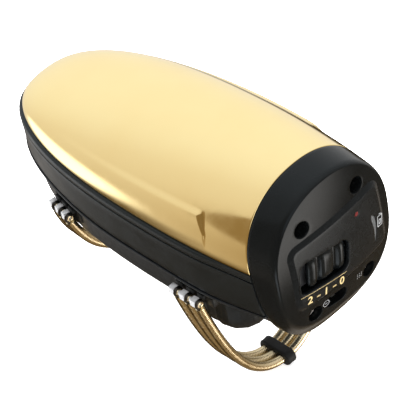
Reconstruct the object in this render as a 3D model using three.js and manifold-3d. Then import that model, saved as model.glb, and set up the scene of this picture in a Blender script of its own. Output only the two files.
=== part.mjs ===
// Strap-on vibrating hand massager: a gold-topped, boat-shaped body that is worn on the back of the hand
// and held there by two sets of close-wound coil springs that loop round the palm and the fingers.
//
// Millimetres, +Z up. X runs along the body, nose towards -X and control end towards +X.
// Everything is drawn in body coordinates (nose at x = 0, shell seam at z = 0) and the whole group is then
// moved so that the origin is the middle of the flat contact face of the hand pad.
import * as THREE from "three";
import { mergeVertices } from "three/addons/utils/BufferGeometryUtils.js";
import Module from "manifold-3d";

const wasm = await Module();
wasm.setup();

// ---------------------------------------------------------------- driving dimensions
const LENGTH = 160; // nose to the rim of the control face
const HALF_WIDTH = 35.3; // widest half-width, at the shell seam
const WIDEST_X = 99; // where the plan is widest
const PLAN_POWER = 2.49; // roundness of the nose in plan
const TAIL_HALF_WIDTH = 30.1; // half-width at the control face
const TAIL_PLAN_POWER = 2; // how the plan narrows towards the tail
const TOP_HEIGHT = 31.5; // height of the gold dome above the seam
const PROFILE_POWER = 1.69; // roundness of the nose in side view
const UPPER_POWER = 2.15; // roundness of the dome's cross-section
const DEPTH = 42; // depth of the underside below the seam
const KEEL_RUN = 32; // length over which the underside reaches its full depth
const KEEL_POWER = 3;
const LOWER_POWER_MID = 8; // boxy lower section along the middle
const LOWER_POWER_TAIL = 2.9; // round lower section at the tail
const TAIL_BLEND = [97, 138]; // where the lower section turns from boxy to round
const BEVEL_START = 154; // the underside rises from here to the control face
const BEVEL_RISE = 9;

const GAP = 0.3; // clearance between neighbouring pieces
const WALL = 2.2;
const RIM_OVERHANG = 1.2; // how far the black rim stands proud of the gold shell
const RIM_HEIGHT = 4.5;
const RIM_GROOVE = 0.5;
const LIP_Z = -20.5; // parting line between the side housing and the base
const BASE_INSET = 1.0;
const CAP_PLANE_X = 147.6; // joint between the shells and the end cap, at the seam
const CAP_PLANE_LEAN = 0.086; // and how much it leans, in x per unit of z
const FACE_X = 162.5; // crown of the domed control face
const FACE_RADIUS = 180;
const NOSE_START = 0.02; // first loft station, just behind the very tip
const SHELL_END = 155; // the shells are lofted to here and then cut at the cap plane
const INNER_END = 158; // and their hollows to here
const BEYOND = 170; // x past the control face, where cutting tools end

// Loft stations of the gold shell, close together at the nose and at the end of its crease.
const SHELL_STATIONS = [
  NOSE_START, 0.4, 1.5, 3.5, 6.5, 11, 17, 25, 35, 47, 60, 78, 96, 112, 121, 123, 125, 127.5, 136, 150,
];
const CREASE = { start: 50, end: 121.5, tip: 126, rise: 0.56, depth: 1.2, sharp: 1.4 };

const FACE_TILT = THREE.MathUtils.degToRad(-8); // the switch and its marks lean by this on the face
const PANEL = { left: -24, right: 25.5, top: 13.7, bottom: -20.5, corner: 5, proud: 1.2, depth: 2.4 };
const RECESS = { y: -7.9, z: -6.6, length: 25, height: 15.2, corner: 4 };
const KNOB = { travel: 4.8, height: 13.8, corner: 2.5, proud: 0.7, floor: 4.2, valley: 2.2 };
const CAP_SCREWS = { y: 14.6, zTop: 17.7, zBottom: -27, hole: 3.4, depth: 8, boss: 5.0 };
const SCREW = { head: 2.7, headHeight: 2.2, shank: 1.3, capLength: 16, baseLength: 11 };
const SHANK_HOLE = SCREW.shank + GAP;
const JACK = { z: -27.6, opening: 4.6, barrel: 3.9, bore: 2.6, pin: 0.9, length: 9 };
const LIGHT_PIPE = { y: 18.6, z: -7, length: 14, width: 1.7 };
const LED = { y: 10.6, z: 7.1, radius: 0.9 };

// The pad is a rounded block: corner is the radius of its corners in plan, shoulder and shoulderHeight shape
// the rounded edge round its flat face, top is where its walls end inside the outline of the base.
const PAD = {
  x: 107, halfLength: 22.5, halfWidth: 27.5, corner: 13, face: -54, shoulder: 9, shoulderHeight: 10, top: -26,
  stem: 4, stemTop: -39.1,
};

const SPRING_RADIUS = 1.9;
const HOOK = { major: 1.95, minor: 0.5 };
const ROD_RADIUS = 1.0;
const BLOCK = 3.1; // side of the square collars on the rods
const ROD_END = 2.5; // how far each rod runs on past its outer hooks' places
const COIL_PITCH_AT_SPACER = 4.4;
const COLLAR_GAP = 1.3; // length of rod left bare beside each hook ring
// Each loop: x of its middle, pitch of its hooks, half-width and height of its rods, how its rods toe in,
// the two inner control points of the hanging curve, and the depth of its lowest point.
const LOOPS = {
  rear: { x: 112.6, pitch: 5.8, y: 37, z: -27.7, toe: 0, pull: [31, -54, 22], low: -88, loops: 3 },
  front: { x: 37.4, pitch: 4.6, y: 32, z: -28.8, toe: 0.2, pull: [28, -46, 18], low: -62, loops: 3 },
};
const RING_AHEAD = 1.2; // hook rings sit this far behind the middle of their place, collars as far before it
const BRACKET = { back: -6, top: 4.5, shelfFront: -1.2, ear: { radius: 1.8, thick: 1.6 } };
const SPACER = { length: 16.4, along: 4.6, thick: 6.6 };

const MOTOR = { x: 34, length: 38, radius: 13.9, z: -17, shaft: 1.6 };
const WEIGHT = { radius: 11.5, thick: 9, gap: 3 };
const BATTERY = { x: 80, length: 65, radius: 9.2, z: -24 };
const BOARD = { x: 84, length: 56, width: 38, thick: 1.6, z: -4 };
const BASE_SCREWS = [{ x: 33, y: 18.5 }, { x: 70, y: 24 }];
const BASE_SEAT_Z = -36; // where the base screws' heads bear
const BASE_POST_TOP = -30;
const POST = { radius: 4.4, hanging: 3.4, cap: 3.6, capStart: 133, webHalf: 1, top: -6 };

const COLOURS = {
  gold: { color: 0xe8c878, roughness: 0.18, metalness: 1.0 },
  gloss: { color: 0x1b1b1c, roughness: 0.25, metalness: 0.0 },
  satin: { color: 0x202021, roughness: 0.45, metalness: 0.0 },
  rubber: { color: 0x161616, roughness: 0.8, metalness: 0.0 },
  coil: { color: 0xc9a860, roughness: 0.35, metalness: 1.0 },
  chrome: { color: 0xd4d6d8, roughness: 0.12, metalness: 1.0 },
  steel: { color: 0x8b8d90, roughness: 0.4, metalness: 1.0 },
  board: { color: 0x1f5a38, roughness: 0.5, metalness: 0.0 },
  lens: { color: 0xc8ccd0, roughness: 0.2, metalness: 0.0 },
  led: { color: 0xc03020, roughness: 0.3, metalness: 0.0 },
  wrap: { color: 0x2f6fa8, roughness: 0.4, metalness: 0.0 },
};

// ---------------------------------------------------------------- solids
function toSolid(geometry) {
  const plain = geometry.clone();
  plain.deleteAttribute("normal");
  plain.deleteAttribute("uv");
  const merged = mergeVertices(plain.index ? plain.toNonIndexed() : plain, 1e-4);
  const vertProperties = new Float32Array(merged.attributes.position.array);
  const triVerts = new Uint32Array(merged.index.array);
  const solid = new wasm.Manifold(new wasm.Mesh({ numProp: 3, vertProperties, triVerts }));
  return solid.volume() < 0 ? toSolid(flipped(merged)) : solid;
}

function flipped(geometry) {
  const turned = geometry.clone();
  const order = turned.index.array;
  for (let i = 0; i < order.length; i += 3) [order[i], order[i + 1]] = [order[i + 1], order[i]];
  return turned;
}

function toGeometry(solid) {
  const { vertProperties, triVerts } = solid.getMesh();
  const geometry = new THREE.BufferGeometry();
  geometry.setAttribute("position", new THREE.BufferAttribute(vertProperties, 3));
  geometry.setIndex(new THREE.BufferAttribute(triVerts, 1));
  return geometry;
}

// Joins rings of equal length into one closed surface, with a fan over each end.
function loft(rings) {
  const points = rings.flat();
  const count = rings[0].length;
  const faces = [];
  for (let r = 0; r + 1 < rings.length; r++) {
    for (let i = 0; i < count; i++) {
      const a = r * count + i;
      const b = r * count + ((i + 1) % count);
      faces.push(a, b, a + count, b, b + count, a + count);
    }
  }
  for (const [r, turn] of [[0, 1], [rings.length - 1, 0]]) {
    const middle = rings[r].reduce((sum, p) => sum.add(p), new THREE.Vector3()).divideScalar(count);
    points.push(middle);
    for (let i = 0; i < count; i++) {
      const a = r * count + i;
      const b = r * count + ((i + 1) % count);
      faces.push(points.length - 1, turn ? b : a, turn ? a : b);
    }
  }
  const geometry = new THREE.BufferGeometry().setFromPoints(points);
  geometry.setIndex(faces);
  return toSolid(geometry);
}

function box(x0, x1, y0, y1, z0, z1) {
  const geometry = new THREE.BoxGeometry(x1 - x0, y1 - y0, z1 - z0);
  return toSolid(geometry.translate((x0 + x1) / 2, (y0 + y1) / 2, (z0 + z1) / 2));
}

// A solid of revolution about the line through (x, y, z) along the axis. Profile: [distance along, radius].
function revolve(profile, axis, x, y, z, sides = 20) {
  const geometry = new THREE.LatheGeometry(profile.map(([s, r]) => new THREE.Vector2(r, s)), sides);
  if (axis === "x") geometry.rotateZ(-Math.PI / 2);
  if (axis === "z") geometry.rotateX(Math.PI / 2);
  return toSolid(geometry.translate(x, y, z));
}

function rod(axis, from, to, radius, x, y, z, sides = 16) {
  return revolve([[from, 0], [from, radius], [to, radius], [to, 0]], axis, x, y, z, sides);
}

// A straight prism of a rounded rectangle in the YZ plane, leaning about the face's middle.
function roundedPlate(y0, y1, z0, z1, corner, x0, x1, lean = FACE_TILT) {
  const shape = new THREE.Shape();
  shape.moveTo(y0 + corner, z0);
  shape.lineTo(y1 - corner, z0).absarc(y1 - corner, z0 + corner, corner, -Math.PI / 2, 0);
  shape.lineTo(y1, z1 - corner).absarc(y1 - corner, z1 - corner, corner, 0, Math.PI / 2);
  shape.lineTo(y0 + corner, z1).absarc(y0 + corner, z1 - corner, corner, Math.PI / 2, Math.PI);
  shape.lineTo(y0, z0 + corner).absarc(y0 + corner, z0 + corner, corner, Math.PI, 1.5 * Math.PI);
  const options = { depth: x1 - x0, bevelEnabled: false, curveSegments: 4 };
  const geometry = new THREE.ExtrudeGeometry(shape, options);
  geometry.applyMatrix4(new THREE.Matrix4().makeBasis(
    new THREE.Vector3(0, 1, 0), new THREE.Vector3(0, 0, 1), new THREE.Vector3(1, 0, 0)));
  return toSolid(geometry.rotateX(lean).translate(x0, 0, 0));
}

// A round tube along a curve.
function tube(curve, radius, sides, steps) {
  const section = new THREE.Shape();
  section.absarc(0, 0, radius, 0, 2 * Math.PI);
  const geometry = new THREE.ExtrudeGeometry(section,
    { steps, curveSegments: sides / 2, bevelEnabled: false, extrudePath: curve });
  return toSolid(geometry);
}

// ---------------------------------------------------------------- the body's master surface
const smooth = (t) => t * t * (3 - 2 * t);
const ramp = (x, from, to) => smooth(THREE.MathUtils.clamp((x - from) / (to - from), 0, 1));
const quarter = (t, power) => (1 - (1 - Math.min(t, 1)) ** power) ** (1 / power);

function halfWidth(x) {
  if (x < WIDEST_X) return HALF_WIDTH * quarter(x / WIDEST_X, PLAN_POWER);
  const back = (x - WIDEST_X) / (LENGTH - WIDEST_X);
  return HALF_WIDTH - (HALF_WIDTH - TAIL_HALF_WIDTH) * back ** TAIL_PLAN_POWER;
}

const topHeight = (x) => TOP_HEIGHT * quarter(x / LENGTH, PROFILE_POWER);

function depth(x) {
  const rise = BEVEL_RISE * Math.max(0, (x - BEVEL_START) / (LENGTH - BEVEL_START));
  return DEPTH * quarter(x / KEEL_RUN, KEEL_POWER) - rise;
}

function lowerPower(x) {
  return LOWER_POWER_MID + (LOWER_POWER_TAIL - LOWER_POWER_MID) * ramp(x, ...TAIL_BLEND);
}

// One closed ring of the body at x, everywhere inset by the given amount (negative grows it).
function bodyRing(x, inset, sides) {
  const at = x - inset * Math.max(0, 1 - x / LENGTH);
  const width = Math.max(halfWidth(at) - inset, 0.2);
  const ring = [];
  for (let i = 0; i < sides; i++) {
    const angle = (2 * Math.PI * i) / sides;
    const upper = i <= sides / 2;
    const reach = Math.max((upper ? topHeight(at) : depth(at)) - inset, 0.2);
    const power = 2 / (upper ? UPPER_POWER : lowerPower(at));
    const y = width * Math.sign(Math.cos(angle)) * Math.abs(Math.cos(angle)) ** power;
    const z = reach * Math.sign(Math.sin(angle)) * Math.abs(Math.sin(angle)) ** power;
    ring.push(new THREE.Vector3(x, y, z));
  }
  return ring;
}

// Stations crowd towards the nose, where the surface turns fastest.
function bodySolid(inset, from, to, stations = 16, sides = 36) {
  const rings = [];
  for (let i = 0; i <= stations; i++) {
    const share = 1 - Math.cos((Math.PI / 2) * (i / stations));
    rings.push(bodyRing(from + (to - from) * share ** 1.4, inset, sides));
  }
  return loft(rings);
}

const insetStart = (inset) => inset + NOSE_START;

// Everything in front of the joint with the end cap, moved back by the gap.
function beforeCap(gap) {
  const x = CAP_PLANE_X - gap;
  const reach = 60;
  const shape = new THREE.Shape();
  shape.moveTo(-reach, -reach);
  shape.lineTo(x + CAP_PLANE_LEAN * reach, -reach);
  shape.lineTo(x - CAP_PLANE_LEAN * reach, reach);
  shape.lineTo(-reach, reach);
  const geometry = new THREE.ExtrudeGeometry(shape, { depth: 2 * reach, bevelEnabled: false });
  return toSolid(geometry.rotateX(Math.PI / 2).translate(0, reach, 0));
}

// ---------------------------------------------------------------- casings
// The gold shell's flank is pushed out below a crease that ends in a small gill.
function creasePush(x, y, z) {
  const creaseZ = CREASE.rise * topHeight(x);
  const along = ramp(x, CREASE.start, CREASE.end - 10);
  const endX = CREASE.end + (CREASE.tip - CREASE.end) * THREE.MathUtils.clamp((creaseZ - z) / 7, 0, 1);
  const ended = 1 - ramp(x, endX, endX + 1.5);
  const under = ramp(creaseZ - z, -CREASE.sharp, CREASE.sharp);
  const fading = Math.sqrt(THREE.MathUtils.clamp(z / creaseZ, 0, 1));
  return Math.sign(y) * CREASE.depth * along * ended * under * fading;
}

function makeTopShell() {
  const sides = 40;
  const rings = [];
  for (const x of SHELL_STATIONS) {
    const pushed = (p) => new THREE.Vector3(p.x, p.y + creasePush(x, p.y, Math.max(p.z, 0)), p.z);
    rings.push(bodyRing(x, 0, sides).map(pushed));
  }
  const above = box(-5, BEYOND, -50, 50, GAP / 2, 60);
  let shell = loft(rings).intersect(above).subtract(bodySolid(WALL, insetStart(WALL), SHELL_END));
  const inner = bodySolid(0.6, insetStart(0.6), INNER_END);
  for (const place of capScrewPlaces.filter(({ z }) => z > 0)) {
    shell = shell.add(capPost(place).intersect(inner));
  }
  return shell.intersect(beforeCap(GAP / 2));
}

// The shell's seam, groove and lip lines follow the plan, so each is a slice of a grown body.
function slice(inset, zFrom, zTo) {
  return bodySolid(inset, insetStart(inset), SHELL_END).intersect(box(-5, BEYOND, -50, 50, zFrom, zTo));
}

function makeSideHousing() {
  const rimBottom = -RIM_HEIGHT;
  const outside = slice(-RIM_OVERHANG, rimBottom, -GAP / 2)
    .add(slice(-RIM_OVERHANG + 0.7, rimBottom - RIM_GROOVE, rimBottom))
    .add(slice(-RIM_OVERHANG + 0.2, LIP_Z + 1, rimBottom - RIM_GROOVE))
    .add(slice(-RIM_OVERHANG + 0.9, LIP_Z + GAP / 2, LIP_Z + 1));
  let housing = outside.subtract(bodySolid(WALL, insetStart(WALL), INNER_END)).intersect(beforeCap(GAP / 2));
  for (const place of BASE_SCREWS) {
    for (const side of [-1, 1]) housing = housing.add(housingPost(place, side));
  }
  return housing;
}

// A post that hangs from a web on the wall and takes a screw driven up through the base.
function housingPost({ x, y }, side) {
  const [low, high] = side < 0 ? [-40, -y] : [y, 40];
  const web = box(x - POST.webHalf, x + POST.webHalf, low, high, LIP_Z + 2, POST.top);
  return rod("z", BASE_POST_TOP + GAP, POST.top, POST.hanging, x, side * y, 0)
    .add(web.intersect(bodySolid(WALL - 0.6, insetStart(WALL), INNER_END)))
    .subtract(rod("z", -40, BASE_POST_TOP + 8, SHANK_HOLE, x, side * y, 0));
}

// A post on the wall behind the end cap, reaching from the screw's axis out past the shell.
function capPost({ y, z }) {
  const [low, high] = z < 0 ? [-DEPTH, z] : [z, TOP_HEIGHT];
  return rod("x", POST.capStart, CAP_PLANE_X + 4, POST.cap, 0, y, z)
    .add(box(POST.capStart, CAP_PLANE_X + 4, y - POST.webHalf, y + POST.webHalf, low, high))
    .subtract(rod("x", POST.capStart + 1, CAP_PLANE_X + 6, SHANK_HOLE, 0, y, z));
}

function makeBaseShell() {
  const lip = slice(-0.2, LIP_Z - 1.4, LIP_Z - GAP / 2);
  const hull = slice(BASE_INSET, -50, LIP_Z - 1.4);
  const inside = bodySolid(BASE_INSET + WALL, insetStart(BASE_INSET + WALL), INNER_END);
  const outer = bodySolid(BASE_INSET + 0.6, insetStart(BASE_INSET + 0.6), INNER_END);
  let base = lip.add(hull).subtract(inside);
  base = base.subtract(rod("z", -60, -36, PAD.stem + GAP, PAD.x, 0, 0));
  for (const { x, y } of BASE_SCREWS) {
    for (const side of [-1, 1]) {
      base = base.add(rod("z", -DEPTH, BASE_POST_TOP, POST.radius, x, side * y, 0).intersect(outer));
      base = base.subtract(rod("z", -50, BASE_SEAT_Z, SCREW.head + GAP, x, side * y, 0));
      base = base.subtract(rod("z", -50, -20, SHANK_HOLE, x, side * y, 0));
    }
  }
  for (const place of capScrewPlaces.filter(({ z }) => z < 0)) {
    base = base.add(capPost(place).intersect(outer));
  }
  return base.intersect(beforeCap(GAP / 2));
}

function capBlock(inset) {
  const rings = [];
  const edge = [[145, 0], [150, 0], [154, 0], [158.2, 0], [159.4, 0.3], [160.2, 1], [160.7, 2], [164, 6]];
  for (const [x, round] of edge) {
    rings.push(bodyRing(Math.min(x, LENGTH), inset + round, 40).map((p) => p.setX(x)));
  }
  return loft(rings);
}

function faceDome(backOff) {
  const profile = [[80, 0], [80, 60]];
  const steps = 8;
  for (let i = steps; i >= 0; i--) {
    const r = (60 * i) / steps;
    profile.push([FACE_X - backOff - (FACE_RADIUS - Math.sqrt(FACE_RADIUS ** 2 - r ** 2)), r]);
  }
  return revolve(profile, "x", 0, 0, 0, 28);
}

const capScrewPlaces = [
  { name: "upper_near", y: -CAP_SCREWS.y, z: CAP_SCREWS.zTop },
  { name: "upper_far", y: CAP_SCREWS.y, z: CAP_SCREWS.zTop },
  { name: "lower_near", y: -CAP_SCREWS.y, z: CAP_SCREWS.zBottom },
  { name: "lower_far", y: CAP_SCREWS.y, z: CAP_SCREWS.zBottom },
];
const screwSeatX = FACE_X - CAP_SCREWS.depth;

function makeEndCap() {
  const outside = capBlock(0).intersect(faceDome(0)).subtract(beforeCap(-GAP / 2));
  const inside = capBlock(WALL).intersect(faceDome(WALL + 0.6));
  let cap = outside.subtract(inside);
  const bossFront = 150.8;
  for (const { y, z } of capScrewPlaces) {
    const boss = rod("x", bossFront, BEYOND, CAP_SCREWS.boss, 0, y, z).intersect(outside);
    cap = cap.add(boss).subtract(rod("x", screwSeatX, BEYOND, CAP_SCREWS.hole, 0, y, z, 24));
    cap = cap.subtract(rod("x", 140, BEYOND, SHANK_HOLE, 0, y, z));
  }
  cap = cap.subtract(panelPlate(GAP));
  cap = cap.subtract(recessHole(0, 150, BEYOND));
  cap = cap.subtract(rod("x", 150, BEYOND, JACK.opening, 0, 0, JACK.z, 24));
  return cap;
}

// ---------------------------------------------------------------- controls on the end face
function panelPlate(grow) {
  const plate = roundedPlate(PANEL.left - grow, PANEL.right + grow, PANEL.bottom - grow, PANEL.top + grow,
    PANEL.corner, 150, BEYOND, 0);
  const rim = capBlock(1.6 - grow);
  return plate.intersect(rim).intersect(faceDome(-PANEL.proud - grow))
    .subtract(faceDome(PANEL.depth - PANEL.proud + grow));
}

function recessHole(grow, from, to) {
  const halfLength = RECESS.length / 2 + grow;
  const halfHeight = RECESS.height / 2 + grow;
  return roundedPlate(RECESS.y - halfLength, RECESS.y + halfLength, RECESS.z - halfHeight,
    RECESS.z + halfHeight, RECESS.corner, from, to);
}

function lightPipeSlot(grow) {
  return roundedPlate(LIGHT_PIPE.y - LIGHT_PIPE.width / 2 - grow, LIGHT_PIPE.y + LIGHT_PIPE.width / 2 + grow,
    LIGHT_PIPE.z - LIGHT_PIPE.length / 2 - grow, LIGHT_PIPE.z + LIGHT_PIPE.length / 2 + grow,
    LIGHT_PIPE.width / 2, 140, BEYOND);
}

function makeControlPanel() {
  let panel = panelPlate(0).subtract(recessHole(0, 140, BEYOND)).subtract(lightPipeSlot(GAP));
  panel = panel.subtract(rod("x", 140, BEYOND, JACK.opening + 0.6, 0, 0, JACK.z, 24));
  panel = panel.subtract(rod("x", 140, BEYOND, LED.radius + GAP, 0, LED.y, LED.z, 12));
  for (const { y, z } of capScrewPlaces) {
    panel = panel.subtract(rod("x", 140, BEYOND, CAP_SCREWS.hole, 0, y, z, 24));
  }
  return panel;
}

const recessFloorX = FACE_X - KNOB.floor;

// The knob is drawn at its rest place, off, at the far end of its travel.
function makeSwitchKnob() {
  const length = RECESS.length - 2 * GAP - KNOB.travel;
  const yHigh = RECESS.y + RECESS.length / 2 - GAP;
  const yLow = yHigh - length;
  const halfHeight = KNOB.height / 2;
  const front = FACE_X + KNOB.proud;
  const [zLow, zHigh] = [RECESS.z - halfHeight, RECESS.z + halfHeight];
  let knob = roundedPlate(yLow, yHigh, zLow, zHigh, KNOB.corner, recessFloorX, front);
  for (const share of [0.24, 0.76]) {
    const channel = new THREE.CylinderGeometry(KNOB.valley, KNOB.valley, RECESS.height + 4, 16);
    channel.rotateX(Math.PI / 2).translate(front + 0.4, yLow + share * length, RECESS.z).rotateX(FACE_TILT);
    knob = knob.subtract(toSolid(channel));
  }
  return knob;
}

function makeSwitchBody() {
  const front = recessFloorX - GAP;
  return roundedPlate(RECESS.y - 12, RECESS.y + 12, RECESS.z - 7, RECESS.z + 7, 1, 149, front);
}

function makeLightPipe() {
  return lightPipeSlot(0).intersect(faceDome(-PANEL.proud)).subtract(faceDome(PANEL.depth - PANEL.proud));
}

function makeIndicatorLed() {
  return rod("x", 150, BEYOND, LED.radius, 0, LED.y, LED.z, 12)
    .intersect(faceDome(-PANEL.proud)).subtract(faceDome(PANEL.depth - PANEL.proud));
}

function makeChargeJack() {
  const front = FACE_X - 6;
  return rod("x", front - JACK.length, front, JACK.barrel, 0, 0, JACK.z, 20)
    .subtract(rod("x", front - JACK.length + 2, front + 1, JACK.bore, 0, 0, JACK.z, 20))
    .add(rod("x", front - JACK.length + 1, front - 1.5, JACK.pin, 0, 0, JACK.z, 10));
}

function screwProfile(length) {
  const { head, headHeight, shank } = SCREW;
  return [[0, 0], [0, shank], [length, shank], [length, head], [length + headHeight - 0.6, head],
    [length + headHeight, head - 0.7], [length + headHeight, 0]];
}

function makeCapScrew({ y, z }) {
  const screw = revolve(screwProfile(SCREW.capLength), "x", screwSeatX + GAP / 2 - SCREW.capLength, y, z, 14);
  const top = screwSeatX + GAP / 2 + SCREW.headHeight;
  return screw.subtract(box(top - 1, top + 1, y - 1.7, y + 1.7, z - 0.4, z + 0.4))
    .subtract(box(top - 1, top + 1, y - 0.4, y + 0.4, z - 1.7, z + 1.7));
}

function makeBaseScrew(x, y) {
  const profile = screwProfile(SCREW.baseLength).map(([s, r]) => [-s, r]);
  return revolve(profile, "z", x, y, BASE_SEAT_Z - GAP / 2 + SCREW.baseLength, 14);
}

// ---------------------------------------------------------------- hand pad
function padRing(inset, z) {
  const corner = PAD.corner - inset;
  const steps = 6;
  const ring = [];
  for (const [sideX, sideY, quarterTurn] of [[1, 1, 0], [-1, 1, 1], [-1, -1, 2], [1, -1, 3]]) {
    for (let i = 0; i <= steps; i++) {
      const angle = (Math.PI / 2) * (quarterTurn + i / steps);
      const x = PAD.x + sideX * (PAD.halfLength - PAD.corner) + corner * Math.cos(angle);
      const y = sideY * (PAD.halfWidth - PAD.corner) + corner * Math.sin(angle);
      ring.push(new THREE.Vector3(x, y, z));
    }
  }
  return ring;
}

function makeHandPad() {
  const rings = [];
  const steps = 6;
  for (let i = 0; i <= steps; i++) {
    const angle = (Math.PI / 2) * (i / steps);
    const z = PAD.face + PAD.shoulderHeight * (1 - Math.cos(angle));
    rings.push(padRing(PAD.shoulder * (1 - Math.sin(angle)), z));
  }
  rings.push(padRing(0, PAD.top));
  return loft(rings)
    .subtract(bodySolid(BASE_INSET - 2 * GAP, insetStart(BASE_INSET), INNER_END))
    .add(rod("z", PAD.face + 2, PAD.stemTop, PAD.stem, PAD.x, 0, 0));
}

// ---------------------------------------------------------------- spring loops
// Where the i-th place on a rod is, on one side (-1 near, 1 far), moved along the rod by shift.
function onRod(loop, side, i, shift) {
  const along = (i - (loop.loops - 1) / 2) * loop.pitch + shift;
  const x = loop.x + along;
  return new THREE.Vector3(x, side * (loop.y + along * loop.toe), loop.z);
}

function loopHalf(loop, side, i, lowX) {
  const top = onRod(loop, side, i, RING_AHEAD);
  top.z -= HOOK.major;
  const [pull1, pullZ, pull2] = loop.pull;
  return new THREE.CubicBezierCurve3(top, new THREE.Vector3(top.x, side * pull1, pullZ),
    new THREE.Vector3(lowX, side * pull2, loop.low), new THREE.Vector3(lowX, 0, loop.low));
}

// The near half of the loop, then the far half backwards.
class HangingLoop extends THREE.Curve {
  constructor(loop, i) {
    super();
    const lowX = loop.x + RING_AHEAD + (i - (loop.loops - 1) / 2) * COIL_PITCH_AT_SPACER;
    this.near = loopHalf(loop, -1, i, lowX);
    this.far = loopHalf(loop, 1, i, lowX);
  }
  getPoint(t, target = new THREE.Vector3()) {
    return t < 0.5 ? this.near.getPoint(2 * t, target) : this.far.getPoint(2 - 2 * t, target);
  }
}

function hookRing(loop, side, i) {
  const ring = new THREE.TorusGeometry(HOOK.major, HOOK.minor, 4, 10);
  ring.rotateY(Math.PI / 2);
  const place = onRod(loop, side, i, RING_AHEAD);
  return toSolid(ring.translate(place.x, place.y, place.z));
}

function makeSpring(loop, i) {
  const coil = tube(new HangingLoop(loop, i), SPRING_RADIUS, 8, 18);
  return coil.add(hookRing(loop, -1, i)).add(hookRing(loop, 1, i));
}

function makeHookRod(loop, side) {
  const reach = (loop.loops * loop.pitch) / 2 + ROD_END;
  let shaft = rod("x", -reach, reach, ROD_RADIUS, 0, 0, 0, 12);
  for (let i = 0; i < loop.loops; i++) {
    const along = (i - (loop.loops - 1) / 2) * loop.pitch - RING_AHEAD;
    const collar = new THREE.BoxGeometry(loop.pitch - 2 * HOOK.minor - COLLAR_GAP, BLOCK, BLOCK);
    shaft = shaft.add(toSolid(collar.translate(along, 0, 0)));
  }
  return placeOnRod(shaft, loop, side);
}

// Turns a solid drawn about the origin to lie along a rod.
function placeOnRod(solid, loop, side) {
  const geometry = toGeometry(solid);
  geometry.rotateZ(side * Math.atan(loop.toe)).translate(loop.x, side * loop.y, loop.z);
  return toSolid(geometry);
}

// A plate that follows the base's wall, with a shelf over the hook rings and an ear at each end for the
// rod. All its sizes are measured from the rod's axis, y outwards.
function makeHookBracket(loop, side) {
  const { back, top, shelfFront, ear } = BRACKET;
  const reach = (loop.loops * loop.pitch) / 2 + ROD_END;
  const front = HOOK.major + HOOK.minor + 2 * GAP;
  const shelf = HOOK.major + HOOK.minor + GAP;
  let bracket = box(-reach, reach, back, -front, 0, top)
    .add(box(-reach, reach, back, shelfFront, shelf, top));
  for (const end of [-1, 1]) {
    const from = end < 0 ? -reach : reach - ear.thick;
    const to = from + ear.thick;
    bracket = bracket.add(box(from, to, back, -ear.radius, -ear.radius, top))
      .add(box(from, to, -ear.radius - GAP, 0, -ear.radius, ear.radius))
      .add(rod("x", from, to, ear.radius, 0, 0, 0, 14))
      .subtract(rod("x", from - 1, to + 1, ROD_RADIUS + GAP, 0, 0, 0, 12));
  }
  const turned = side < 0 ? mirrorY(bracket) : bracket;
  return placeOnRod(turned, loop, side)
    .subtract(bodySolid(BASE_INSET - 2 * GAP, insetStart(BASE_INSET), INNER_END))
    .subtract(slice(-0.2 - GAP, LIP_Z - 1.4 - GAP, LIP_Z + 6));
}

function mirrorY(solid) {
  return toSolid(toGeometry(solid).scale(1, -1, 1));
}

// A rubber block with three holes that keeps the rear coils side by side.
function makeSpacer() {
  const { rear } = LOOPS;
  const x = rear.x + RING_AHEAD;
  let block = box(x - SPACER.length / 2, x + SPACER.length / 2, -SPACER.along / 2, SPACER.along / 2,
    rear.low - SPACER.thick / 2, rear.low + SPACER.thick / 2);
  for (let i = 0; i < rear.loops; i++) {
    block = block.subtract(tube(new HangingLoop(rear, i), SPRING_RADIUS + 0.4, 10, 18));
  }
  return block;
}

// ---------------------------------------------------------------- inside
function makeMotorCan() {
  return rod("x", MOTOR.x, MOTOR.x + MOTOR.length, MOTOR.radius, 0, 0, MOTOR.z, 28)
    .subtract(rod("x", MOTOR.x - 1, MOTOR.x + 12, MOTOR.shaft + GAP, 0, 0, MOTOR.z, 14));
}

function makeMotorShaft() {
  const start = MOTOR.x - WEIGHT.gap - WEIGHT.thick - 1;
  return rod("x", start, MOTOR.x + 11, MOTOR.shaft, 0, 0, MOTOR.z, 14);
}

function makeEccentricWeight() {
  const end = MOTOR.x - WEIGHT.gap;
  const sector = rod("x", end - WEIGHT.thick, end, WEIGHT.radius, 0, 0, MOTOR.z, 28)
    .intersect(box(0, 60, -20, 20, MOTOR.z - 20, MOTOR.z - 0.5));
  return sector.add(rod("x", end - WEIGHT.thick, end, 4, 0, 0, MOTOR.z, 16))
    .subtract(rod("x", 0, 60, MOTOR.shaft + 0.05, 0, 0, MOTOR.z, 14));
}

function cradle(x0, x1, z, radius, halfWidthOut, top) {
  const block = box(x0, x1, -halfWidthOut, halfWidthOut, -DEPTH + BASE_INSET + WALL + 0.4, top);
  return block.subtract(rod("x", x0 - 1, x1 + 1, radius + GAP, 0, 0, z, 28))
    .intersect(bodySolid(BASE_INSET + WALL + GAP, insetStart(BASE_INSET + WALL + GAP), INNER_END));
}

function makeMotorMount() {
  return cradle(MOTOR.x + 6, MOTOR.x + MOTOR.length - 6, MOTOR.z, MOTOR.radius, MOTOR.radius + 3, MOTOR.z);
}

function makeBatteryCradle() {
  return cradle(BATTERY.x + 6, BATTERY.x + BATTERY.length - 14, BATTERY.z, BATTERY.radius, BATTERY.radius + 3,
    BATTERY.z);
}

function makeBattery() {
  const end = BATTERY.x + BATTERY.length;
  return rod("x", BATTERY.x, end - 1, BATTERY.radius, 0, 0, BATTERY.z, 28)
    .add(rod("x", end - 2, end, 3, 0, 0, BATTERY.z, 14));
}

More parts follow.
